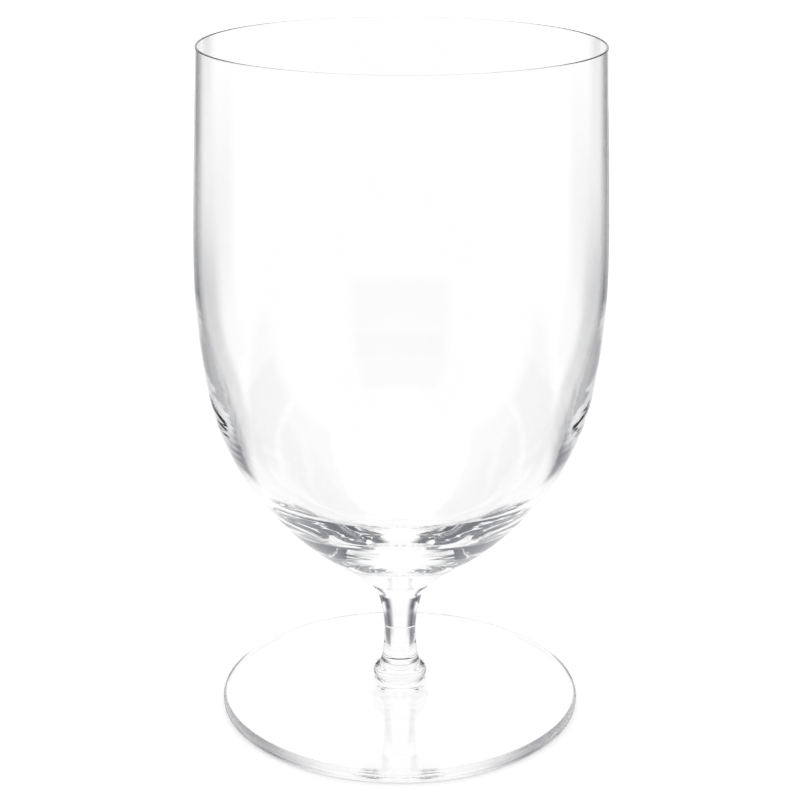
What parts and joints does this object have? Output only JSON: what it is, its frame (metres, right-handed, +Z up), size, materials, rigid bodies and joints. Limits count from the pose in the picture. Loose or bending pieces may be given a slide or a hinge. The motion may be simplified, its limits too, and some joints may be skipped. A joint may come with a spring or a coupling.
{
  "type": "water goblet",
  "caption": "Clear glass water goblet with a deep thin-walled bowl, a heavy base, a short waisted stem and a flat round foot.",
  "frame": {"origin": "centre of the face that the foot stands on", "axes": "+Z up along the axis of the goblet; the goblet is round, so X and Y are free"},
  "size_m": [0.0874, 0.0874, 0.148],
  "materials": {
    "clear_glass": "fire-polished clear colourless glass"
  },
  "bodies": {
    "root": {"bowl": "clear_glass", "stem": "clear_glass", "foot": "clear_glass"}
  },
  "joints": []
}
